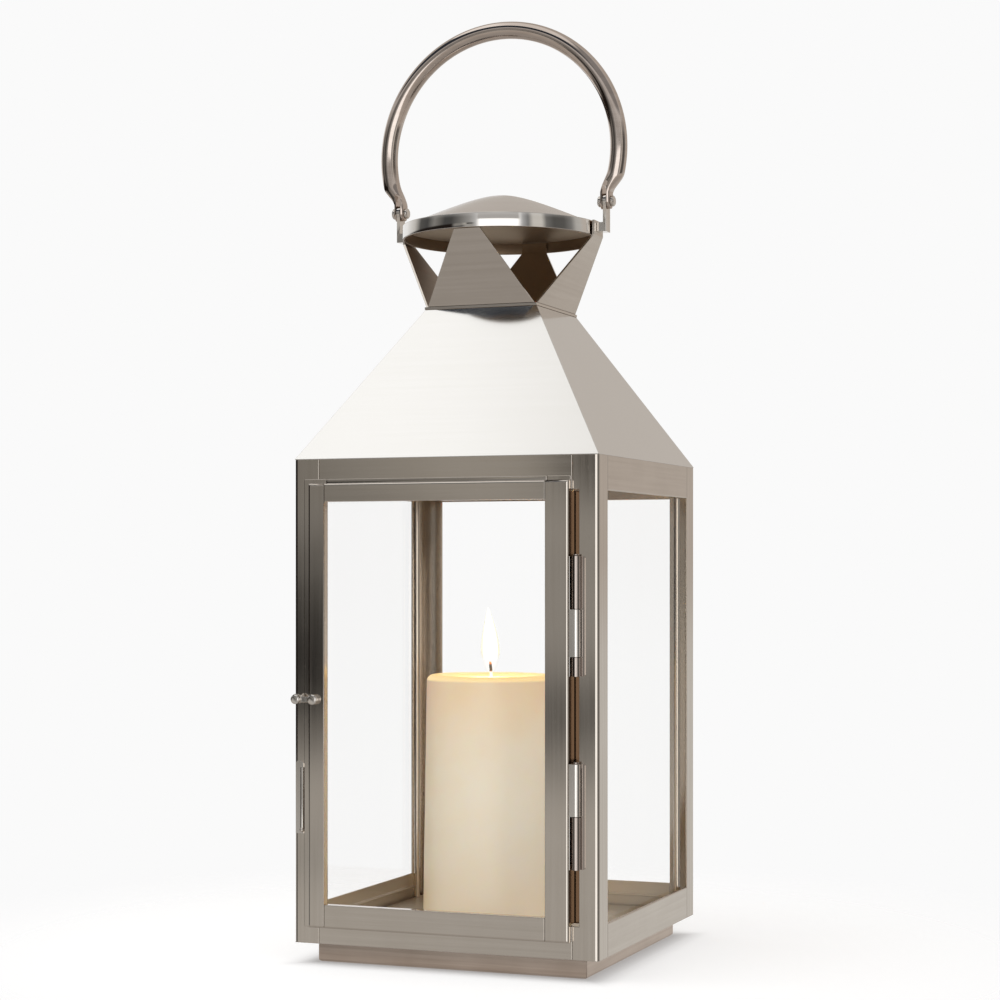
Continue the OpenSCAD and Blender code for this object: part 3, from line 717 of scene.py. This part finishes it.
def fork_cutter():
    """Both slots as solids that reach past the rod on both sides."""
    bm = bmesh.new()
    for side in (-1, 1):
        rows = []
        for y in (-CUT_HALF_Y, CUT_HALF_Y):
            rows.append([bm.verts.new((x * MM, y * MM, z * MM)) for x, z in fork_outline(side)])
        front, back = rows
        for i in range(len(front)):
            j = (i + 1) % len(front)
            bm.faces.new((front[i], front[j], back[j], back[i]))
        bm.faces.new(front[::-1])
        bm.faces.new(back)
    bmesh.ops.recalc_face_normals(bm, faces=bm.faces)
    return add_object("fork_cutter", bm)


def handle():
    """The whole rod, from one fork over the ring to the other, with both slots cut."""
    sections = fork_sections(1)
    for k in range(LOOP_STEPS + 1):
        a = -ROD_END + (math.pi + 2 * ROD_END) * k / LOOP_STEPS
        u = (math.cos(a), math.sin(a))
        sections.append(oval((LOOP_R * u[0], LOOP_Z + LOOP_R * u[1]), u, ROD_R, ROD_R, 2.0))
    sections += fork_sections(-1)[::-1]
    thing = add_object("handle_rod", loft(sections), ROD_SHARP)
    cutter = fork_cutter()
    cut = thing.modifiers.new("fork_slots", "BOOLEAN")
    cut.operation, cut.solver, cut.object = "DIFFERENCE", "EXACT", cutter
    bpy.context.view_layer.update()
    made = bpy.data.meshes.new_from_object(thing.evaluated_get(bpy.context.evaluated_depsgraph_get()))
    thing.modifiers.clear()
    thing.data = made
    bpy.data.objects.remove(cutter)
    made.shade_smooth()
    made.set_sharp_from_angle(angle=math.radians(ROD_SHARP))
    dress(thing, metal("handle_steel"), "handle", "polished_steel", "handle_ring")


handle()


# ---- Cap: a hoop with rolled edges and a pressed dome ----


def rounded_band(inner, outer, low, high, ease, steps=5):
    """Closed profile of a flat band with eased corners."""
    points = []
    corners = ((outer - ease, low + ease, -90), (outer - ease, high - ease, 0),
               (inner + ease, high - ease, 90), (inner + ease, low + ease, 180))
    for cx, cz, start in corners:
        for k in range(steps):
            a = math.radians(start + 90 * k / (steps - 1))
            points.append((cx + ease * math.cos(a), cz + ease * math.sin(a)))
    return points


def bell(r):
    """Rise of the dome above its rim, in mm, at a radius."""
    return CAP_RISE * (1 + CAP_SOFT - math.sqrt(CAP_SOFT ** 2 + (1 + 2 * CAP_SOFT) * (r / CAP_R) ** 2))


def dome_profile(steps=44):
    """Closed profile of the pressed sheet: over the top, round its rolled rim and back below."""
    upper = [(CAP_R * k / steps, CAP_Z + bell(CAP_R * k / steps)) for k in range(steps)]
    under = [(r, z - CAP_T) for r, z in upper[::-1]]
    rim = [(CAP_R - 0.15, CAP_Z + 0.02), (CAP_R, CAP_Z - CAP_T / 2), (CAP_R - 0.15, CAP_Z - CAP_T + 0.02)]
    return upper + rim + under


hoop_profile = rounded_band(RING_IN, RING_OUT, RING_LOW, RING_HIGH, 0.45)
dress(add_object("cap_hoop", lathe(hoop_profile, count=192)),
      metal("hoop_steel"), "lantern_body", "polished_steel", "cap_ring")
dress(add_object("dome_pressed", lathe(dome_profile(), count=160), 60.0),
      metal("dome_steel"), "lantern_body", "satin_steel", "dome_cap")


# ---- Candle ----


def uneven(r, z, a):
    """Slight hand-poured unevenness, always inside the plain pillar."""
    p = Vector((math.cos(a) * 1.4, math.sin(a) * 1.4, z * 0.03))
    slow = noise.noise(p) * 0.5 + 0.5
    fine = noise.noise(p * 5) * 0.5 + 0.5
    rim_dip = max(0.0, min(1.0, (z - CANDLE_TOP + 12) / 12))
    return r - 0.28 * slow - 0.08 * fine, z - rim_dip * (0.5 * slow + 0.15 * fine)


# The molten hollow and the wick's hole: radius and depth below the pillar's top, in mm
HOLLOW = [(30.5, 0.25), (27.5, 0.9), (24.0, 1.4), (18.0, 1.75), (12.0, 1.95), (6.0, 2.1), (2.5, 1.9),
          (1.2, 1.5), (0.95, 3.0), (0.95, 10.0), (0.0, 10.0)]


def pillar_profile(rows=36):
    """From the middle of the foot, up the tapered side and over the shoulder into the hollow."""
    foot = [(0.0, CANDLE_LOW), (CANDLE_R - 6, CANDLE_LOW),
            (CANDLE_R - 0.9, CANDLE_LOW), (CANDLE_R - 0.25, CANDLE_LOW + 0.3)]
    body_side = []
    for k in range(rows + 1):
        t = k / rows
        z = CANDLE_LOW + 0.9 + (CANDLE_TOP - SHOULDER_R - CANDLE_LOW - 0.9) * t
        body_side.append((CANDLE_R + (CANDLE_TOP_R - CANDLE_R) * t, z))
    shoulder = []
    for angle in range(10, 91, 10):
        a = math.radians(angle)
        shoulder.append((CANDLE_TOP_R - SHOULDER_R * (1 - math.cos(a)),
                         CANDLE_TOP - SHOULDER_R * (1 - math.sin(a))))
    return foot + body_side + shoulder + [(r, CANDLE_TOP - depth) for r, depth in HOLLOW]


pillar = lathe(pillar_profile(), (CANDLE_X, 0.0), 128, uneven)
dress(add_object("candle_pillar", pillar, 70.0), wax(), "candle", "wax", "candle_wax")


def wick():
    """A braided cord that leans as it burns."""
    sections = []
    rows = 40
    for k in range(rows + 1):
        t = k / rows
        z = CANDLE_TOP - 9.9 + (WICK_TOP - CANDLE_TOP + 9.8) * t
        lean = -0.6 * max(0.0, (t - 0.55) / 0.45) ** 1.6
        girth = 0.85 * (1.0 - 0.35 * max(0.0, (t - 0.8) / 0.2) ** 2)
        ring = []
        for i in range(18):
            a = math.tau * i / 18
            strand = 1 + 0.1 * math.sin(3 * a + t * 34)
            r = girth * strand
            ring.append(((CANDLE_X + lean + r * math.cos(a)) * MM, r * math.sin(a) * MM, z * MM))
        sections.append(ring)
    return add_object("wick_braid", loft(sections), 50.0)


dress(wick(), char(), "candle", "wick", "candle_wick")


def flame():
    """A teardrop that narrows to a wisp and leans very slightly."""
    sections = []
    rows = 48
    for k in range(rows + 1):
        t = k / rows
        width = FLAME_R * (math.sin(math.pi * min(1.0, t ** 0.72)) ** 0.8) * (1 - 0.2 * t)
        width = max(width, 0.12)
        z = FLAME_LOW + (FLAME_TOP - FLAME_LOW) * t
        lean = -0.3 - 1.6 * t * t
        ring = []
        for i in range(40):
            a = math.tau * i / 40
            ring.append(((CANDLE_X + lean + width * math.cos(a)) * MM, width * math.sin(a) * MM, z * MM))
        sections.append(ring)
    return add_object("candle_flame", loft(sections), 80.0)


dress(flame(), fire(), "candle", None)


# ---- Studio ----

# Reflected studio round the object: degrees from the camera's side (minus is left), brightness, warmth
STUDIO = [
    (-180, 0.95, 0.0), (-142, 0.95, 0.0), (-120, 0.60, 0.3), (-108, 0.10, 0.3), (-95, 0.07, 0.1),
    (-84, 0.24, 0.4), (-77, 0.16, 0.5), (-69, 0.07, 0.1), (-60, 0.07, 0.2), (-50, 0.17, 0.3),
    (-38, 0.34, 0.2), (-30, 0.55, 0.0), (-25, 1.55, 0.0), (17, 1.55, 0.0), (23, 0.50, -0.1),
    (30, 0.22, 0.0), (36, 0.64, 0.4), (46, 0.64, 0.4), (52, 0.18, 0.2), (62, 0.10, 0.3),
    (76, 0.11, 0.3), (87, 0.22, 0.2), (95, 0.48, 0.3), (125, 0.63, 0.3), (140, 0.66, 0.3),
    (152, 0.68, 0.3), (166, 0.95, 0.0),
]

# What the front faces reflect, by the height of the ray: left end, then right end of the front
FRONT_LEFT = [(-0.20, 0.52), (-0.144, 0.54), (-0.127, 0.34), (-0.10, 0.52), (-0.088, 0.46),
              (-0.074, 0.26), (-0.06, 0.045), (-0.045, 0.02), (-0.03, 0.04), (-0.013, 0.065),
              (0.005, 0.15), (0.022, 0.28), (0.035, 0.27)]
FRONT_RIGHT = [(-0.20, 0.48), (-0.144, 0.50), (-0.10, 0.52), (-0.086, 0.32), (-0.072, 0.11),
               (-0.055, 0.16), (-0.04, 0.33), (-0.02, 0.38), (0.0, 0.35), (0.022, 0.40), (0.035, 0.36)]
# What the header reflects, from its left end to its right end: degrees from the camera's side, brightness
HEADER = [(-47.5, 0.25), (-46.5, 0.27), (-45, 0.38), (-43, 0.44), (-42, 0.42), (-41, 0.31),
          (-40.3, 0.14), (-39.5, 0.07)]
FRONT_WARMTH = 0.35
HEADER_WARMTH = 0.55

# The front's ramp covers ray heights from RAY_LOW up by RAY_SPAN, the header's 10 degrees from -50 up
RAY_LOW = -0.20
RAY_SPAN = 0.25
HEADER_SCALE = 0.1
HEADER_SHIFT = 5.0

BACKDROP = (0.957, 0.956, 0.956, 1.0)
UNLIT_SIDE = (0.008, 0.006, 0.005)
ABOVE_FRONT = (0.24, 0.235, 0.23)
RIGHT_WALL = (0.28, 0.255, 0.232)
TABLE_FAR = (0.27, 0.25, 0.23)
TABLE_NEAR = (0.21, 0.20, 0.19)
CEILING_BACK = (0.27, 0.25, 0.23)
CEILING_FRONT = (0.36, 0.355, 0.35)
FLAG_DARK = (0.018, 0.022, 0.029)
FLAG_GREY = (0.15, 0.148, 0.148)
SOFTBOX = (0.60, 0.60, 0.595)
SOFTBOX_TOP = (0.50, 0.495, 0.485)
SOFTBOX_LEFT = (0.48, 0.475, 0.465)
SOFTBOX_AIM = (-0.34, -0.30, 0.89)
REFLECTED_POWER = 2.0


def tinted(brightness, warmth):
    """A grey at half its brightness, with more red and less blue as it gets warmer."""
    level = brightness * 0.5
    return (level * (1 + 0.08 * warmth), level, level * (1 - 0.14 * warmth))


def studio_walls(g, angle, around, z):
    """The walls round the object, with what its front, its header and its left side reflect."""
    walls = g.ramp(around, [((a + 180) / 360, tinted(b, w)) for a, b, w in STUDIO])
    ray = g.math("MULTIPLY_ADD", z, 1 / RAY_SPAN, -RAY_LOW / RAY_SPAN)
    profiles = []
    for profile in (FRONT_LEFT, FRONT_RIGHT):
        stops = [((h - RAY_LOW) / RAY_SPAN, tinted(b, FRONT_WARMTH)) for h, b in profile]
        profiles.append(g.ramp(ray, stops))
    front = g.mix(g.step(angle, -47.0, -41.0), *profiles)
    spread = g.math("MULTIPLY_ADD", angle, HEADER_SCALE, HEADER_SHIFT)
    stops = [(a * HEADER_SCALE + HEADER_SHIFT, tinted(b, HEADER_WARMTH)) for a, b in HEADER]
    front = g.mix(g.step(z, 0.028, 0.038), front, g.ramp(spread, stops))
    level = g.band(z, (-0.30, -0.22), (0.055, 0.09))
    past_edge = g.band(angle, (-174.0, -168.0), (-61.0, -54.0))
    past_edge = g.math("MULTIPLY", past_edge, g.math("MULTIPLY", level, g.step(z, -0.11, -0.07)))
    walls = g.mix(past_edge, walls, UNLIT_SIDE)
    strip = g.band(angle, (-31.0, -27.0), (18.0, 22.0))
    walls = g.mix(g.math("MULTIPLY", strip, g.step(z, 0.15, 0.185)), walls, ABOVE_FRONT)
    beside = g.band(angle, (-60.0, -54.0), (-36.0, -30.0))
    walls = g.mix(g.math("MULTIPLY", beside, level), walls, front)
    right_high = g.math("MULTIPLY", g.step(angle, 100.0, 110.0), g.step(z, -0.05, 0.01))
    return g.mix(right_high, walls, RIGHT_WALL)


def softbox(g, x, y, z):
    """Where the box lamp overhead is, and its brightness."""
    aim = Vector(SOFTBOX_AIM).normalized()
    toward = g.math("ADD", g.math("MULTIPLY", x, aim.x), g.math("MULTIPLY", y, aim.y))
    toward = g.math("ADD", toward, g.math("MULTIPLY", z, aim.z))
    share = g.math("MULTIPLY", g.step(toward, 0.80, 0.88), g.step(z, 0.775, 0.80))
    level = g.mix(g.step(z, 0.915, 0.955), SOFTBOX, SOFTBOX_TOP)
    return share, g.mix(g.step(x, -0.40, -0.28), level, SOFTBOX_LEFT)


def studio():
    """A plain backdrop for the camera, and a studio that only the object sees."""
    world = bpy.data.worlds.new("studio")
    world.use_nodes = True
    bpy.context.scene.world = world
    g = Graph(world.node_tree)
    x, y, z = g.split(g.tree.nodes.new("ShaderNodeTexCoord").outputs["Generated"])
    bearing = g.math("ARCTAN2", x, g.math("MULTIPLY", y, -1.0))
    turns = g.math("MULTIPLY_ADD", bearing, 1 / math.tau, 0.5 - CAM_AZIMUTH / 360)
    around = g.math("FRACT", g.math("ADD", turns, 1.0))
    angle = g.math("MULTIPLY_ADD", around, 360.0, -180.0)
    walls = studio_walls(g, angle, around, z)
    table = g.mix(g.step(z, -0.22, -0.7), TABLE_FAR, TABLE_NEAR)
    lower = g.mix(g.step(z, -0.19, -0.26), walls, table)
    ceiling = g.mix(g.step(y, 0.5, -0.3), CEILING_BACK, CEILING_FRONT)
    middle = g.mix(g.step(z, 0.22, 0.5), lower, ceiling)
    flag = g.math("MULTIPLY", g.step(z, 0.42, 0.52), g.step(y, 0.15, -0.15))
    middle = g.mix(flag, middle, g.mix(g.step(x, -0.05, 0.20), FLAG_DARK, FLAG_GREY))
    box, box_level = softbox(g, x, y, z)
    lit = g.mix(box, middle, box_level)
    reflected = g.add("ShaderNodeBackground", Color=lit, Strength=REFLECTED_POWER)
    seen = g.add("ShaderNodeBackground", Color=BACKDROP, Strength=1.0)
    from_camera = g.tree.nodes.new("ShaderNodeLightPath").outputs["Is Camera Ray"]
    finish_shader(g, g.blend(from_camera, reflected, seen), "ShaderNodeOutputWorld")


studio()


def area_light(name, place, aim, size, power):
    """A soft lamp that neither the camera nor a mirror sees."""
    light = bpy.data.lights.new(name, "AREA")
    light.shape = "RECTANGLE"
    light.size, light.size_y = size
    light.energy = power
    lamp = bpy.data.objects.new(name, light)
    bpy.context.scene.collection.objects.link(lamp)
    lamp.location = place
    lamp.rotation_mode = "QUATERNION"
    lamp.rotation_quaternion = (Vector(aim) - Vector(place)).to_track_quat("-Z", "Y")
    lamp.visible_glossy = False
    lamp.visible_camera = False


area_light("key", (-0.9, -0.9, 1.9), (0.0, 0.0, 0.1), (1.6, 1.6), 16.0)
area_light("fill", (1.3, -1.0, 1.0), (0.0, 0.0, 0.15), (1.2, 1.2), 5.0)


def candle_light():
    """The light of the flame, which rides with the candle."""
    light = bpy.data.lights.new("flame_light", "POINT")
    light.energy = 0.12
    light.color = (1.0, 0.55, 0.22)
    light.shadow_soft_size = 0.004
    flame_lamp = bpy.data.objects.new("flame_light", light)
    bpy.context.scene.collection.objects.link(flame_lamp)
    flame_lamp.location = ((CANDLE_X + 1.0) * MM, 0.0, FLAME_LIGHT_Z * MM)
    flame_lamp.visible_glossy = False
    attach(flame_lamp, "candle")


candle_light()


PAPER = (0.52, 0.52, 0.525, 1.0)
PAPER_GLOW = (0.625, 0.623, 0.62)
CONTACT_SHADOW_GLOW = (0.26, 0.255, 0.255)
PAPER_R = 1.6
# The paper fades into the backdrop between these distances from the middle, in metres
FADE_FROM = 0.14
FADE_TO = 0.42


def floor():
    """Pale paper that fades into the backdrop away from the object, with a painted contact shadow round the
    plinth.
    """
    bm = bmesh.new()
    bmesh.ops.create_circle(bm, cap_ends=True, segments=96, radius=PAPER_R)
    sheet = add_object("studio_floor", bm)
    material, g = new_material("studio_floor")
    x, y, _ = g.split(g.place())
    lit_paper = g.add("ShaderNodeBsdfPrincipled", Base_Color=PAPER, Roughness=1.0)
    lit_paper.inputs["Specular IOR Level"].default_value = 0.0
    reach = g.math("MAXIMUM", g.math("ABSOLUTE", x), g.math("ABSOLUTE", y))
    # Painted contact shadow: the paper's glow is dimmer close round the plinth
    beside = g.step(reach, SHADE_OUT * MM, SHADE_IN * MM)
    g.put(lit_paper, "Emission Color", g.mix(beside, PAPER_GLOW, CONTACT_SHADOW_GLOW))
    lit_paper.inputs["Emission Strength"].default_value = 1.0
    clear = g.add("ShaderNodeBsdfTransparent", Color=CLEAR)
    finish_shader(g, g.blend(g.step(g.distance(x, y), FADE_TO, FADE_FROM), clear, lit_paper))
    sheet.data.materials.append(material)
    sheet.visible_glossy = False


floor()


# ---- Camera and picture ----

camera = bpy.data.objects.new("camera", bpy.data.cameras.new("camera"))
bpy.context.scene.collection.objects.link(camera)
camera.location = CAM_PLACE
camera.rotation_euler = (math.radians(90), 0.0, math.radians(CAM_AZIMUTH))
camera.data.sensor_width = 36.0
camera.data.lens = CAM_LENS
camera.data.shift_x, camera.data.shift_y = CAM_SHIFT
camera.data.clip_start, camera.data.clip_end = 0.01, 50.0
bpy.context.scene.camera = camera

scene = bpy.context.scene
scene.view_settings.view_transform = "Standard"
scene.view_settings.look = "None"
scene.cycles.max_bounces = 14
scene.cycles.transparent_max_bounces = 24
scene.cycles.glossy_bounces = 8
